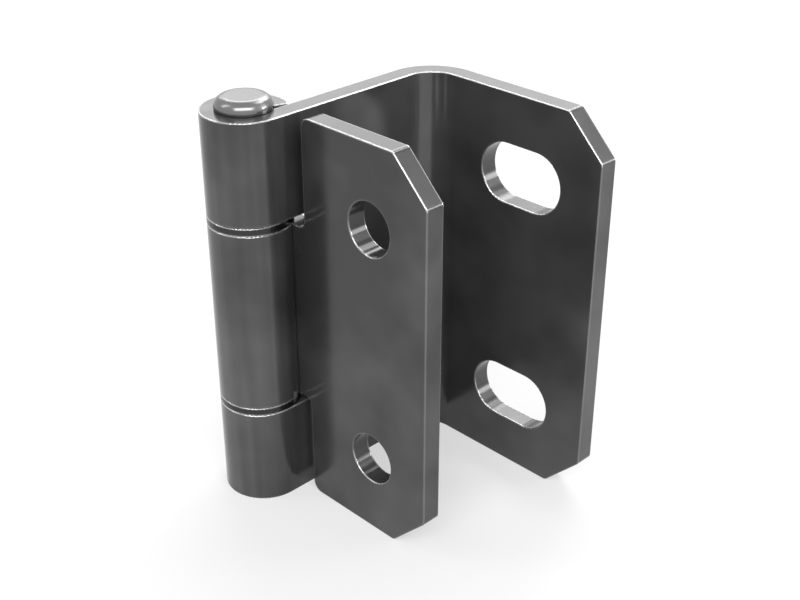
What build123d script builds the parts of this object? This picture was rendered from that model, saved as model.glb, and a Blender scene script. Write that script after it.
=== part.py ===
"""Barrel hinge: a folded leaf and a plain leaf, rolled from strip steel round one headed pin.

The origin is on the pin's axis at the foot of the hinge. +Z runs up the pin, +X from the barrel
along both plates, and +Y from the plain leaf to the slotted plate of the folded leaf.
"""

import os
from math import asin, degrees

from build123d import *

# Overall sizes shared by the pieces
hinge_height = 50.0
sheet = 2.5
end_knuckle_height = 12.5
washer_thickness = 1.0

# Pin, and the play of everything that turns on it
pin_diameter = 5.0
pin_clearance = 0.05
head_diameter = 6.7
head_height = 1.5
head_round = 1.2
head_foot_round = 0.1
tip_chamfer = 0.4

# Rolled eyes: the gap between the lip and the flat sheet, and how far the lip leans off square
roll_gap = 0.15
lip_lean = 10.0

# Blank outlines, the same on both leaves
swing_gap = 1.45
relief_radius = 1.0
corner_chamfer = 5.0
corner_break = 0.8
edge_round = 0.12
fixing_spacing = 30.0

# Plain leaf, measured from the pin's axis
plain_reach = 25.85
heel_radius = 1.3
hole_diameter = 6.4
hole_reach = 17.15

# Folded leaf, measured from the pin's axis
folded_reach = 31.0
plate_offset = 24.75
bend_radius = 3.6
slot_width = 7.5
slot_length = 11.9
slot_reach = 19.45

# Washer edges
washer_round = 0.1

# Sizes that follow
bore_radius = pin_diameter / 2 + pin_clearance
barrel_radius = bore_radius + sheet
sheet_edge = barrel_radius + swing_gap
mid_height = hinge_height / 2
notch_height = hinge_height - 2 * end_knuckle_height
middle_knuckle_height = notch_height - 2 * washer_thickness
lip_angle = degrees(asin((bore_radius - roll_gap) / barrel_radius))
outer_roll = 270 + lip_angle
bore_roll = outer_roll + lip_lean
bend_start = plate_offset - bend_radius
bend_end = barrel_radius + bend_radius
beyond_barrel = 2 * barrel_radius
beyond_plate = plate_offset + 2 * sheet
seam_cosine = 0.99


def rolled_eye(start_angle, turn):
    """Draw a rolled eye from its tangent point to its lip, anticlockwise for a turn of 1."""
    outside = CenterArc((0, 0), barrel_radius, start_angle, turn * outer_roll)
    bore = CenterArc((0, 0), bore_radius, start_angle, turn * bore_roll)
    Line(outside @ 1, bore @ 1)


def sharp_edges(leaf):
    """Find the edges where two faces meet at an angle, without the seams of flats and arcs."""
    found = ShapeList()
    faces = leaf.faces()
    for edge in leaf.edges():
        sides = [face for face in faces if edge in face.edges()]
        if len(sides) == 2:
            first, second = [face.normal_at(edge @ 0.5) for face in sides]
            if abs(first.dot(second)) < seam_cosine:
                found.append(edge)
    return found


# Folded leaf: two end knuckles, a leg, a square bend and a plate with two slots
with BuildPart() as folded_leaf:
    with BuildSketch(Plane.XY):
        with BuildLine():
            rolled_eye(0, -1)
            Line((barrel_radius, 0), (barrel_radius, bend_start))
            CenterArc((bend_end, bend_start), bend_radius, 180, -90)
            Polyline(
                (bend_end, plate_offset),
                (folded_reach, plate_offset),
                (folded_reach, plate_offset + sheet),
                (bend_end, plate_offset + sheet),
            )
            CenterArc((bend_end, bend_start), bend_radius + sheet, 90, 90)
            Line((bore_radius, bend_start), (bore_radius, 0))
        make_face()
    extrude(amount=hinge_height)

    # The blank's outline, seen square to the plate
    with BuildSketch(Plane.XZ) as folded_blank:
        with Locations((-beyond_barrel, 0)):
            Rectangle(
                beyond_barrel + folded_reach,
                hinge_height,
                align=(Align.MIN, Align.MIN),
            )
        chamfer(folded_blank.vertices().group_by(Axis.X)[-1], corner_chamfer)
        chamfered = folded_blank.vertices().filter_by_position(Axis.X, bend_end, folded_reach)
        fillet(chamfered, corner_break)
        with Locations((slot_reach, mid_height)):
            with GridLocations(0, fixing_spacing, 1, 2):
                SlotOverall(slot_length, slot_width, mode=Mode.SUBTRACT)
    extrude(amount=beyond_plate, both=True, mode=Mode.INTERSECT)

    # The notch that lets the middle knuckle and the washers in between the end knuckles
    with BuildSketch(Plane.YZ) as notch:
        with Locations((-beyond_barrel, mid_height)):
            Rectangle(
                beyond_barrel + sheet_edge,
                notch_height,
                align=(Align.MIN, Align.CENTER),
            )
        fillet(notch.vertices().group_by(Axis.X)[-1], relief_radius)
    extrude(amount=beyond_barrel, both=True, mode=Mode.SUBTRACT)

    fillet(sharp_edges(folded_leaf), edge_round)


# Plain leaf: a flat plate with two round holes and a strap rolled into the middle knuckle
with BuildPart() as plain_leaf:
    with BuildSketch(Plane.XY):
        with BuildLine():
            rolled_eye(90, 1)
            Polyline(
                (0, barrel_radius),
                (plain_reach, barrel_radius),
                (plain_reach, bore_radius),
                (0, bore_radius),
            )
        make_face()
    extrude(amount=hinge_height)

    # The blank's outline, seen square to the plate
    with BuildSketch(Plane.XZ) as plain_blank:
        with Locations((sheet_edge, 0)):
            Rectangle(plain_reach - sheet_edge, hinge_height, align=(Align.MIN, Align.MIN))
        with Locations((-beyond_barrel, mid_height)):
            Rectangle(
                beyond_barrel + sheet_edge,
                middle_knuckle_height,
                align=(Align.MIN, Align.CENTER),
            )
        chamfer(plain_blank.vertices().group_by(Axis.X)[-1], corner_chamfer)
        chamfered = plain_blank.vertices().filter_by_position(Axis.X, hole_reach, plain_reach)
        fillet(chamfered, corner_break)
        heels = plain_blank.vertices().group_by(Axis.X)[1].sort_by(Axis.Y)
        fillet([heels[0], heels[-1]], heel_radius)
        strap_roots = plain_blank.vertices().group_by(Axis.X)[1].sort_by(Axis.Y)[1:3]
        fillet(strap_roots, relief_radius)
        with Locations((hole_reach, mid_height)):
            with GridLocations(0, fixing_spacing, 1, 2):
                Circle(hole_diameter / 2, mode=Mode.SUBTRACT)
    extrude(amount=beyond_barrel, both=True, mode=Mode.INTERSECT)

    fillet(sharp_edges(plain_leaf), edge_round)


# Hinge pin: a turned head on a plain shank, chamfered at its foot
with BuildPart() as hinge_pin:
    with BuildSketch(Plane.XY):
        Circle(pin_diameter / 2)
    extrude(amount=hinge_height)
    chamfer(hinge_pin.edges().sort_by(Axis.Z)[0], tip_chamfer)
    with BuildSketch(Plane.XY.offset(hinge_height)):
        Circle(head_diameter / 2)
    extrude(amount=head_height)
    rims = hinge_pin.edges().filter_by(GeomType.CIRCLE).group_by(Axis.Z)
    fillet(rims[-1], head_round)
    fillet(rims[-2].sort_by(SortBy.RADIUS)[-1], head_foot_round)


# Thrust washers: one in each joint between the knuckles
def washer(bottom):
    """Make a washer of the barrel's diameter that lies on the given height."""
    with BuildPart() as ring:
        with BuildSketch(Plane.XY.offset(bottom)):
            Circle(barrel_radius)
            Circle(bore_radius, mode=Mode.SUBTRACT)
        extrude(amount=washer_thickness)
        fillet(ring.edges().filter_by(GeomType.CIRCLE).group_by(SortBy.RADIUS)[-1], washer_round)
    return ring


lower_washer = washer(end_knuckle_height)
upper_washer = washer(hinge_height - end_knuckle_height - washer_thickness)


os.makedirs("parts", exist_ok=True)

folded_leaf.part.label = "folded_leaf"
plain_leaf.part.label = "plain_leaf"
hinge_pin.part.label = "hinge_pin"
upper_washer.part.label = "upper_washer"
lower_washer.part.label = "lower_washer"

export_step(folded_leaf.part, "parts/folded_leaf.step")
export_step(plain_leaf.part, "parts/plain_leaf.step")
export_step(hinge_pin.part, "parts/hinge_pin.step")
export_step(upper_washer.part, "parts/upper_washer.step")
export_step(lower_washer.part, "parts/lower_washer.step")
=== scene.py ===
"""Barrel hinge: the finish of each steel piece, and the plain studio that it stands in."""

import math

import bmesh
import bpy
from bpy.props import FloatProperty, FloatVectorProperty, PointerProperty
from mathutils import Euler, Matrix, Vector


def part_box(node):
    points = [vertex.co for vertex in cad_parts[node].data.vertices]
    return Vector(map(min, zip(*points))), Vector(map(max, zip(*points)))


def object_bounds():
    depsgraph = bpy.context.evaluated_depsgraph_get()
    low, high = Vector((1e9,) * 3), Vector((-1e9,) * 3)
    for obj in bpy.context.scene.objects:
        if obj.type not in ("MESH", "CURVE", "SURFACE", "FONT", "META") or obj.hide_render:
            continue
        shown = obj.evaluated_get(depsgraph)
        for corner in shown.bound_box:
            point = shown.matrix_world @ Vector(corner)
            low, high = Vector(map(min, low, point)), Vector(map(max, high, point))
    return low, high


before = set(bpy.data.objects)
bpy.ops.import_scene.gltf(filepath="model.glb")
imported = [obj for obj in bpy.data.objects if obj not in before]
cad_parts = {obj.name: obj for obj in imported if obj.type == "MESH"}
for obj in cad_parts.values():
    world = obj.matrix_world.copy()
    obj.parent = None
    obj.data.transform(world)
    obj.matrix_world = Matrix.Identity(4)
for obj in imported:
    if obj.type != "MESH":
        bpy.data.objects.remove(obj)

bl_info = {
    "name": "Barrel hinge finishes",
    "version": (1, 0, 0),
    "blender": (4, 5, 0),
    "location": "View3D > Sidebar > Hinge",
    "description": "Finishes the steel pieces of a barrel hinge and sets up a studio round it",
    "category": "Object",
}

LEAVES = ("folded_leaf", "plain_leaf")
PIN = "hinge_pin"
WASHERS = ("upper_washer", "lower_washer")
MM = 0.001

# The frame's box, before anything is dressed
CAD_LOW, CAD_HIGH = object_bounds()

# The knuckles are rolled to the washers' radius about the pin
ROLL_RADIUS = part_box(WASHERS[0])[1][0]

# Camera of the reference view: 800 x 600 image, focal length in pixels, place in millimetres
IMAGE_WIDTH = 800
FOCAL_PIXELS = 1267.748
SENSOR_WIDTH = 36.0
CAMERA_PLACE = Vector((106.735, -81.567, 98.441)) * MM
CAMERA_HEADING = math.radians(45.223)
CAMERA_TILT = math.radians(-28.615)
CLIP_NEAR = 0.005
CLIP_FAR = 20.0

# Softboxes: azimuth from +X towards +Y and elevation in degrees, then distance, width and height
# in metres, then radiance
SOFTBOXES = {
    "key_softbox": (-40, 46, 0.60, 0.70, 0.24, 5.5),
    "back_softbox": (135, 26, 0.60, 0.60, 0.16, 1.8),
    "high_back_softbox": (95, 54, 0.60, 0.20, 0.16, 6.0),
    "left_softbox": (225, 42, 0.60, 0.10, 0.30, 4.0),
    "right_softbox": (52, 36, 0.60, 0.20, 0.20, 1.7),
    "low_side_softbox": (45, 17, 0.60, 0.20, 0.14, 9.0),
    "upper_back_softbox": (130, 38, 0.60, 0.50, 0.14, 7.0),
}

# Noise values between which a pattern runs from its one end to its other, softly and sharply
NOISE_SOFT = (0.3, 0.7)
NOISE_SHARP = (0.35, 0.65)

# Share of the rays into the metal that meet nothing: on a flat, and on an edge
OPEN_SHARE = (0.92, 0.75)

# Upward part of the normal: from sides to upper edges, where the painted edge highlight is full,
# and from the head's shoulder to its top, which is painted darker as painted shade
HIGHLIGHT_UP_PART = (0.0, 0.3)
HEAD_TOP_PART = (0.94, 0.99)

# Roughness of each steel, where it is smoothest and where it is roughest
LEAF_ROUGHNESS = (0.12, 0.22)
PIN_ROUGHNESS = (0.20, 0.30)
WASHER_ROUGHNESS = (0.22, 0.32)

# Heights in metres of marks too shallow to be shapes
GRAIN_HEIGHT = 1.2e-6
RING_HEIGHT = 0.6e-6
GRINDING_HEIGHT = 0.8e-6

# Leaves: scale of the streaks along the pin against across it, and their share in the sheen
STREAK_SCALE = 0.03
STREAK_SHARE = 0.35

# Knuckles: shade of the darkest and the lightest painted reflection band, and where the bands end
# off the roll
REFLECTION_BANDS = (0.72, 1.25)
REFLECTION_BAND_END = (ROLL_RADIUS + 0.5 * MM, ROLL_RADIUS + 0.1 * MM)

# How metallic the sheet shows through its dark film
FILM_METALLIC = 0.36

# Pin: scale of the haze, and the distance after which a ring wave of scale 1 repeats
HAZE_SCALE = 600.0
WAVE_REPEAT = math.tau / 20


def linear(hex_colour):
    """Turn an sRGB hex value such as #8090a0 into linear red, green and blue."""
    channels = [int(hex_colour[i:i + 2], 16) / 255 for i in (1, 3, 5)]
    return tuple(c / 12.92 if c <= 0.04045 else ((c + 0.055) / 1.055) ** 2.4 for c in channels)


def add_node(tree, kind, inputs=None, **settings):
    """Add a shader node, set its properties, and give each named input a value or a link."""
    node = tree.nodes.new(kind)
    for name, value in settings.items():
        setattr(node, name, value)
    for name, value in (inputs or {}).items():
        if isinstance(value, bpy.types.NodeSocket):
            tree.links.new(value, node.inputs[name])
        else:
            node.inputs[name].default_value = value
    return node


def new_material(name):
    """Make an empty node material and return it with its tree."""
    material = bpy.data.materials.new(name)
    material.use_nodes = True
    material.node_tree.nodes.clear()
    return material, material.node_tree


def map_range(tree, value, source, target=(0.0, 1.0)):
    """Map a value from one range to another, held at both ends."""
    node = add_node(
        tree,
        "ShaderNodeMapRange",
        {
            "Value": value,
            "From Min": source[0],
            "From Max": source[1],
            "To Min": target[0],
            "To Max": target[1],
        },
    )
    return node.outputs["Result"]


def mix_colours(tree, factor, first, second):
    """Mix two colours, each a value or a link."""
    node = add_node(
        tree,
        "ShaderNodeMix",
        {"Factor": factor, 6: first, 7: second},
        data_type="RGBA",
    )
    return node.outputs[2]


def join_steel(tree, colour, metallic, roughness, marks, height):
    """Join a steel's colour, gloss and shallow marks in one shader."""
    bumps = add_node(
        tree,
        "ShaderNodeBump",
        {"Height": marks, "Strength": 1.0, "Distance": height},
    )
    steel = add_node(
        tree,
        "ShaderNodeBsdfPrincipled",
        {
            "Base Color": colour,
            "Metallic": metallic,
            "Roughness": roughness,
            "Normal": bumps.outputs["Normal"],
        },
    )
    add_node(tree, "ShaderNodeOutputMaterial", {"Surface": steel.outputs["BSDF"]})


def outer_edges(tree, width):
    """Find where the surface is near an outer edge: rays into the metal soon meet another face."""
    depth = add_node(
        tree,
        "ShaderNodeAmbientOcclusion",
        {"Distance": width},
        samples=8,
        inside=True,
        only_local=True,
    )
    return map_range(tree, depth.outputs["AO"], OPEN_SHARE)


def upward_part(tree):
    """Find how far the surface faces up the pin, from -1 to 1."""
    normal = add_node(tree, "ShaderNodeTexCoord").outputs["Normal"]
    return add_node(tree, "ShaderNodeSeparateXYZ", {"Vector": normal}).outputs["Z"]


def painted_edge_highlights(tree, width, sides):
    """Find the edges for the painted highlight: full on upper edges and rims, weaker on upright
    sides, as if less lit.
    """
    highlighting = map_range(tree, upward_part(tree), HIGHLIGHT_UP_PART, (sides, 1.0))
    edge = add_node(
        tree,
        "ShaderNodeMath",
        {0: outer_edges(tree, width), 1: highlighting},
        operation="MULTIPLY",
    )
    return edge.outputs[0]


class LeafFinish(bpy.types.PropertyGroup):
    """Sizes and colours of the leaves' sheet steel."""

    dark: FloatVectorProperty(
        name="Dark steel",
        description="Colour of the sheet where the tumbling has cut least",
        subtype="COLOR",
        default=linear("#343434"),
    )
    light: FloatVectorProperty(
        name="Light steel",
        description="Colour of the sheet where the tumbling has cut most",
        subtype="COLOR",
        default=linear("#525252"),
    )
    # Painted highlight: the rounded edges are coloured near white in place of the lamps' glints on
    # them
    edge: FloatVectorProperty(
        name="Burnished edge",
        description="Colour of the rounded edges, which the tumbling rubs bright",
        subtype="COLOR",
        default=linear("#fafafa"),
    )
    cloud: FloatProperty(
        name="Cloud size",
        description="Width of the soft patches of brighter and duller finish",
        unit="LENGTH",
        subtype="DISTANCE",
        default=18 * MM,
    )
    # Painted reflection: the patches are placed so that a lighter one lies low on the slotted
    # plate
    cloud_place: FloatVectorProperty(
        name="Cloud place",
        description="How far the patches are moved along each axis",
        unit="LENGTH",
        subtype="TRANSLATION",
        default=(100 * MM, 200 * MM, 300 * MM),
    )
    streak: FloatProperty(
        name="Streak width",
        description="Width of the drawn streaks that run up the sheet, along the pin",
        unit="LENGTH",
        subtype="DISTANCE",
        default=0.8 * MM,
    )
    # Painted reflection: the knuckle bands are colour standing in for the surround mirrored in the
    # roll
    reflection_band: FloatProperty(
        name="Die mark width",
        description="Width of the bands that the rolling die leaves along the knuckles",
        unit="LENGTH",
        subtype="DISTANCE",
        default=2.2 * MM,
    )
    grain: FloatProperty(
        name="Grain size",
        description="Size of the matt grain",
        unit="LENGTH",
        subtype="DISTANCE",
        default=0.3 * MM,
    )
    # Width of the painted edge highlight
    edge_width: FloatProperty(
        name="Burnished width",
        description="How far the burnishing reaches from an edge",
        unit="LENGTH",
        subtype="DISTANCE",
        default=0.2 * MM,
    )
    # Strength of the painted edge highlight on upright edges, against 1 for rims and upper edges
    side_highlight: FloatProperty(
        name="Side rubbing",
        description="How far the upright edges are burnished, against 1 for rims and upper edges",
        subtype="FACTOR",
        min=0.0,
        max=1.0,
        default=0.2,
    )


class PinFinish(bpy.types.PropertyGroup):
    """Sizes and colours of the pin's turned steel."""

    steel: FloatVectorProperty(
        name="Turned steel",
        description="Colour of the polished shoulder and shank",
        subtype="COLOR",
        default=linear("#7c7c7c"),
    )
    # Painted shade: the flat top is coloured darker than the shoulder, to hold down the lamp's
    # bright reflection in it
    end: FloatVectorProperty(
        name="Faced end",
        description="Colour of the head's flat top, which is left as the tool cut it",
        subtype="COLOR",
        default=linear("#606060"),
    )
    ring: FloatProperty(
        name="Ring spacing",
        description="Distance between the turning marks on the head",
        unit="LENGTH",
        subtype="DISTANCE",
        default=0.2 * MM,
    )


class WasherFinish(bpy.types.PropertyGroup):
    """Sizes and colours of the washers' ground steel."""

    steel: FloatVectorProperty(
        name="Ground steel",
        description="Colour of the washers",
        subtype="COLOR",
        default=linear("#404040"),
    )
    # Painted highlight: the rims are coloured near white in place of the lamps' glints on them
    rim: FloatVectorProperty(
        name="Worn rim",
        description="Colour of the rims, which the knuckles rub bright",
        subtype="COLOR",
        default=linear("#fafafa"),
    )
    # Width of the painted rim highlight
    rim_highlight_width: FloatProperty(
        name="Rim width",
        description="How far the wear reaches from a rim",
        unit="LENGTH",
        subtype="DISTANCE",
        default=0.16 * MM,
    )
    grain: FloatProperty(
        name="Grinding grain",
        description="Size of the grinding marks",
        unit="LENGTH",
        subtype="DISTANCE",
        default=0.2 * MM,
    )


class StudioSettings(bpy.types.PropertyGroup):
    """Sizes and colours of the floor and the light."""

    floor: FloatVectorProperty(
        name="Floor",
        description="Colour of the floor",
        subtype="COLOR",
        default=linear("#e2e2e2"),
    )
    paleness: FloatProperty(
        name="Floor paleness",
        description="Share of the floor's white that the shadow leaves alone at the object",
        subtype="FACTOR",
        min=0.0,
        max=1.0,
        default=0.5,
    )
    shadow_reach: FloatProperty(
        name="Shadow reach",
        description="Distance from the object at which the shadow has faded out",
        unit="LENGTH",
        subtype="DISTANCE",
        default=0.6,
    )
    floor_size: FloatProperty(
        name="Floor size",
        description="Side of the square floor",
        unit="LENGTH",
        subtype="DISTANCE",
        default=6.0,
    )
    surround: FloatVectorProperty(
        name="Surround",
        description="Colour of the walls and ceiling beyond the floor",
        subtype="COLOR",
        default=linear("#ffffff"),
    )
    fill: FloatProperty(
        name="Fill light",
        description="Strength of the light that the surround sheds, against 1 for how it is seen",
        subtype="FACTOR",
        min=0.0,
        max=1.0,
        default=0.55,
    )


def tumbled_sheet_steel(finish):
    """Cold-rolled sheet steel, pressed and then tumbled in stone.

    It gives a satin, cloudy sheen and faint streaks along the pin. The soft bands on the rolled
    knuckles are painted reflections, and the bright edges are painted highlights.
    """
    material, tree = new_material("tumbled_sheet_steel")
    place = add_node(tree, "ShaderNodeTexCoord").outputs["Object"]

    # The clouds are random tone, moved along until a lighter one lies low on the slotted plate as
    # painted reflected light
    moved = add_node(tree, "ShaderNodeMapping", {"Vector": place, "Location": finish.cloud_place})
    clouds = add_node(
        tree,
        "ShaderNodeTexNoise",
        {
            "Vector": moved.outputs["Vector"],
            "Scale": 1 / finish.cloud,
            "Detail": 3.0,
            "Roughness": 0.55,
        },
    )
    stretched = add_node(
        tree,
        "ShaderNodeMapping",
        {"Vector": place, "Scale": (1, 1, STREAK_SCALE)},
    )
    streaks = add_node(
        tree,
        "ShaderNodeTexNoise",
        {"Vector": stretched.outputs["Vector"], "Scale": 1 / finish.streak, "Detail": 2.0},
    )
    # Tumbled grain, taken to be about 0.05 mm, is too fine to show and is drawn coarser
    grain = add_node(
        tree,
        "ShaderNodeTexNoise",
        {"Vector": place, "Scale": 1 / finish.grain, "Detail": 3.0, "Roughness": 0.6},
    )

    # Painted reflection: bands along the pin, lighter and darker, stand in for the surround
    # mirrored in the rolled knuckles
    across = add_node(
        tree,
        "ShaderNodeVectorMath",
        {0: place, 1: (1, 1, 0)},
        operation="MULTIPLY",
    )
    from_pin = add_node(
        tree,
        "ShaderNodeVectorMath",
        {0: across.outputs["Vector"]},
        operation="LENGTH",
    )
    rolled = map_range(tree, from_pin.outputs["Value"], REFLECTION_BAND_END)
    reflection_band_noise = add_node(
        tree,
        "ShaderNodeTexNoise",
        {"Vector": stretched.outputs["Vector"], "Scale": 1 / finish.reflection_band, "Detail": 1.5},
    )
    bands = map_range(tree, reflection_band_noise.outputs["Fac"], NOISE_SHARP, REFLECTION_BANDS)
    shade = add_node(
        tree,
        "ShaderNodeMix",
        {"Factor": rolled, 2: 1.0, 3: bands},
        data_type="FLOAT",
    )

    # Painted highlight along the edges, weaker on upright ones
    edge = painted_edge_highlights(tree, finish.edge_width, finish.side_highlight)
    patches = map_range(tree, clouds.outputs["Fac"], NOISE_SHARP)
    sheet = mix_colours(tree, patches, (*finish.dark, 1), (*finish.light, 1))
    banded = add_node(
        tree,
        "ShaderNodeVectorMath",
        {0: sheet, 1: shade.outputs[0]},
        operation="MULTIPLY",
    )
    # Painted highlight: the edges take the near-white colour
    colour = mix_colours(tree, edge, banded.outputs["Vector"], (*finish.edge, 1))
    mottle = add_node(
        tree,
        "ShaderNodeMix",
        {"Factor": STREAK_SHARE, 2: clouds.outputs["Fac"], 3: streaks.outputs["Fac"]},
        data_type="FLOAT",
    )
    sheen = map_range(tree, mottle.outputs[0], NOISE_SOFT, LEAF_ROUGHNESS)
    # A thin dark film of oil and scale lies on the sheet; under the painted edge highlight the
    # steel is fully metallic
    bareness = map_range(tree, edge, (0.0, 1.0), (FILM_METALLIC, 1.0))
    join_steel(tree, colour, bareness, sheen, grain.outputs["Fac"], GRAIN_HEIGHT)
    return material


def turned_pin_steel(finish):
    """Bright free-cutting steel bar, turned and polished.

    It gives soft bright highlights on the shoulder, which is painted lighter, and a flat top with
    the tool's rings, painted darker as painted shade.
    """
    material, tree = new_material("turned_pin_steel")
    place = add_node(tree, "ShaderNodeTexCoord").outputs["Object"]
    # Painted shade: the upward flat top of the head takes the darker colour
    flatness = map_range(tree, upward_part(tree), HEAD_TOP_PART)
    colour = mix_colours(tree, flatness, (*finish.steel, 1), (*finish.end, 1))
    rings = add_node(
        tree,
        "ShaderNodeTexWave",
        {"Vector": place, "Scale": WAVE_REPEAT / finish.ring, "Distortion": 0.0},
        wave_type="RINGS",
        rings_direction="Z",
    )
    haze = add_node(
        tree,
        "ShaderNodeTexNoise",
        {"Vector": place, "Scale": HAZE_SCALE, "Detail": 3.0},
    )
    sheen = map_range(tree, haze.outputs["Fac"], NOISE_SOFT, PIN_ROUGHNESS)
    join_steel(tree, colour, 1.0, sheen, rings.outputs["Fac"], RING_HEIGHT)
    return material


def ground_washer_steel(finish):
    """Hardened strip steel, ground flat on both faces.

    It gives a fine, even satin; the rims are painted near white as a painted highlight.
    """
    material, tree = new_material("ground_washer_steel")
    place = add_node(tree, "ShaderNodeTexCoord").outputs["Object"]
    marks = add_node(
        tree,
        "ShaderNodeTexNoise",
        {"Vector": place, "Scale": 1 / finish.grain, "Detail": 2.0},
    )
    # Painted highlight on the rims
    rim_highlight_mask = painted_edge_highlights(tree, finish.rim_highlight_width, 1.0)
    colour = mix_colours(tree, rim_highlight_mask, (*finish.steel, 1), (*finish.rim, 1))
    sheen = map_range(tree, marks.outputs["Fac"], NOISE_SOFT, WASHER_ROUGHNESS)
    join_steel(tree, colour, 1.0, sheen, marks.outputs["Fac"], GRINDING_HEIGHT)
    return material


def seen_rays(tree):
    """Find the rays that show a background: from the camera, reflected or through glass."""
    path = add_node(tree, "ShaderNodeLightPath")
    seen = add_node(
        tree,
        "ShaderNodeMath",
        {0: path.outputs["Is Camera Ray"], 1: path.outputs["Is Glossy Ray"]},
        operation="MAXIMUM",
    )
    seen_or_through = add_node(
        tree,
        "ShaderNodeMath",
        {0: seen.outputs[0], 1: path.outputs["Is Transmission Ray"]},
        operation="MAXIMUM",
    )
    return seen_or_through.outputs[0]


def painted_studio_floor(studio):
    """Matt emulsion paint, rolled. It gives an even pale ground that takes a soft shadow."""
    material, tree = new_material("painted_studio_floor")
    paint = add_node(
        tree,
        "ShaderNodeBsdfPrincipled",
        {"Base Color": (*studio.floor, 1), "Roughness": 0.9, "Specular IOR Level": 0.2},
    )
    # Part of the floor's white is shown to the camera and in reflections as it is, without shadow,
    # and away from the object all of it, so that the floor runs into the surround
    white = add_node(tree, "ShaderNodeEmission", {"Color": (*studio.surround, 1), "Strength": 1.0})
    place = add_node(tree, "ShaderNodeTexCoord").outputs["Object"]
    distance = add_node(tree, "ShaderNodeVectorMath", {0: place}, operation="LENGTH")
    paleness = map_range(
        tree,
        distance.outputs["Value"],
        (studio.shadow_reach / 4, studio.shadow_reach),
        (studio.paleness, 1.0),
    )
    share = add_node(
        tree,
        "ShaderNodeMath",
        {0: seen_rays(tree), 1: paleness},
        operation="MULTIPLY",
    )
    ground = add_node(
        tree,
        "ShaderNodeMixShader",
        {0: share.outputs[0], 1: paint.outputs["BSDF"], 2: white.outputs["Emission"]},
    )
    add_node(tree, "ShaderNodeOutputMaterial", {"Surface": ground.outputs["Shader"]})
    return material


def dress(node_name, material):
    """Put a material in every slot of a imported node."""
    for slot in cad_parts[node_name].material_slots:
        slot.material = material


def make_floor(studio):
    """Lay a square floor under the object."""
    mesh = bpy.data.meshes.new("floor")
    cells = bmesh.new()
    bmesh.ops.create_grid(cells, x_segments=1, y_segments=1, size=studio.floor_size / 2)
    bmesh.ops.translate(cells, verts=cells.verts, vec=(0, 0, CAD_LOW.z))
    cells.to_mesh(mesh)
    cells.free()
    mesh.materials.append(painted_studio_floor(studio))
    floor = bpy.data.objects.new("floor", mesh)
    bpy.context.scene.collection.objects.link(floor)


def hang_softbox(name, azimuth, elevation, distance, width, height, radiance):
    """Hang a rectangular lamp that faces the middle of the object."""
    lamp = bpy.data.lights.new(name, "AREA")
    lamp.shape = "RECTANGLE"
    lamp.size = width
    lamp.size_y = height
    lamp.energy = radiance * math.pi * width * height
    holder = bpy.data.objects.new(name, lamp)
    bpy.context.scene.collection.objects.link(holder)
    middle = (CAD_LOW + CAD_HIGH) / 2
    out = Vector((1, 0, 0))
    out.rotate(Euler((0, -math.radians(elevation), math.radians(azimuth))))
    holder.location = middle + out * distance
    holder.rotation_euler = out.to_track_quat("Z", "Y").to_euler()


def light_surround(studio):
    """Light the surround: white to the camera and in reflections, dimmer as a source of light."""
    world = bpy.data.worlds.new("studio")
    bpy.context.scene.world = world
    world.use_nodes = True
    tree = world.node_tree
    tree.nodes.clear()
    strength = map_range(tree, seen_rays(tree), (0.0, 1.0), (studio.fill, 1.0))
    glow = add_node(
        tree,
        "ShaderNodeBackground",
        {"Color": (*studio.surround, 1), "Strength": strength},
    )
    add_node(tree, "ShaderNodeOutputWorld", {"Surface": glow.outputs["Background"]})


def set_camera():
    """Put the camera where the reference view was taken from."""
    lens = bpy.data.cameras.new("reference_camera")
    lens.sensor_width = SENSOR_WIDTH
    lens.lens = FOCAL_PIXELS * SENSOR_WIDTH / IMAGE_WIDTH
    lens.clip_start = CLIP_NEAR
    lens.clip_end = CLIP_FAR
    camera = bpy.data.objects.new("reference_camera", lens)
    camera.location = CAMERA_PLACE
    camera.rotation_euler = (math.pi / 2 + CAMERA_TILT, 0, CAMERA_HEADING)
    bpy.context.scene.collection.objects.link(camera)
    bpy.context.scene.camera = camera


class HINGE_OT_finish_leaves(bpy.types.Operator):
    """Give both leaves their tumbled sheet steel"""

    bl_idname = "hinge.finish_leaves"
    bl_label = "Finish the leaves"

    def execute(self, context):
        material = tumbled_sheet_steel(context.scene.hinge_leaf_finish)
        for name in LEAVES:
            dress(name, material)
        return {"FINISHED"}


class HINGE_OT_finish_pin(bpy.types.Operator):
    """Give the pin its turned steel"""

    bl_idname = "hinge.finish_pin"
    bl_label = "Finish the pin"

    def execute(self, context):
        dress(PIN, turned_pin_steel(context.scene.hinge_pin_finish))
        return {"FINISHED"}


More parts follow.
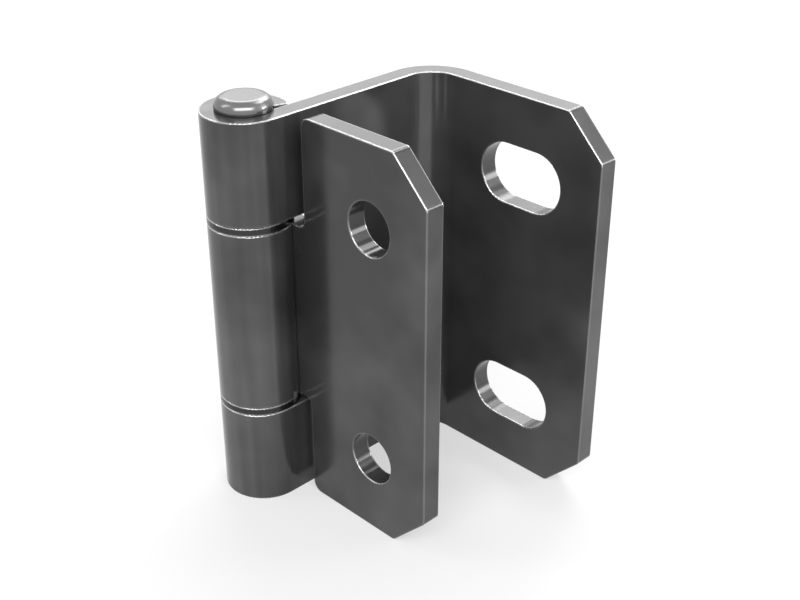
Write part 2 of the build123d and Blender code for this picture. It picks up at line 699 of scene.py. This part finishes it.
class HINGE_OT_finish_washers(bpy.types.Operator):
    """Give both washers their ground steel"""

    bl_idname = "hinge.finish_washers"
    bl_label = "Finish the washers"

    def execute(self, context):
        material = ground_washer_steel(context.scene.hinge_washer_finish)
        for name in WASHERS:
            dress(name, material)
        return {"FINISHED"}


class HINGE_OT_build_studio(bpy.types.Operator):
    """Lay the floor, hang the lamps and set the camera"""

    bl_idname = "hinge.build_studio"
    bl_label = "Build the studio"

    def execute(self, context):
        studio = context.scene.hinge_studio
        make_floor(studio)
        for name, box in SOFTBOXES.items():
            hang_softbox(name, *box)
        light_surround(studio)
        set_camera()
        context.scene.view_settings.view_transform = "Standard"
        return {"FINISHED"}


class HINGE_PT_sidebar(bpy.types.Panel):
    """List the finishes and the studio in the 3D view's sidebar"""

    bl_idname = "HINGE_PT_sidebar"
    bl_label = "Barrel hinge"
    bl_space_type = "VIEW_3D"
    bl_region_type = "UI"
    bl_category = "Hinge"

    def draw(self, context):
        for group, operator in STEPS:
            column = self.layout.box().column()
            settings = getattr(context.scene, group)
            for name in settings.__annotations__:
                column.prop(settings, name)
            column.operator(operator.bl_idname)


STEPS = (
    ("hinge_leaf_finish", HINGE_OT_finish_leaves),
    ("hinge_pin_finish", HINGE_OT_finish_pin),
    ("hinge_washer_finish", HINGE_OT_finish_washers),
    ("hinge_studio", HINGE_OT_build_studio),
)
GROUPS = {
    "hinge_leaf_finish": LeafFinish,
    "hinge_pin_finish": PinFinish,
    "hinge_washer_finish": WasherFinish,
    "hinge_studio": StudioSettings,
}
CLASSES = (*GROUPS.values(), *(operator for _, operator in STEPS), HINGE_PT_sidebar)


def register():
    for cls in CLASSES:
        bpy.utils.register_class(cls)
    for name, group in GROUPS.items():
        setattr(bpy.types.Scene, name, PointerProperty(type=group))


def unregister():
    for name in GROUPS:
        delattr(bpy.types.Scene, name)
    for cls in reversed(CLASSES):
        bpy.utils.unregister_class(cls)


def main():
    register()
    bpy.ops.hinge.finish_leaves()
    bpy.ops.hinge.finish_pin()
    bpy.ops.hinge.finish_washers()
    bpy.ops.hinge.build_studio()


if __name__ == "__main__":
    main()
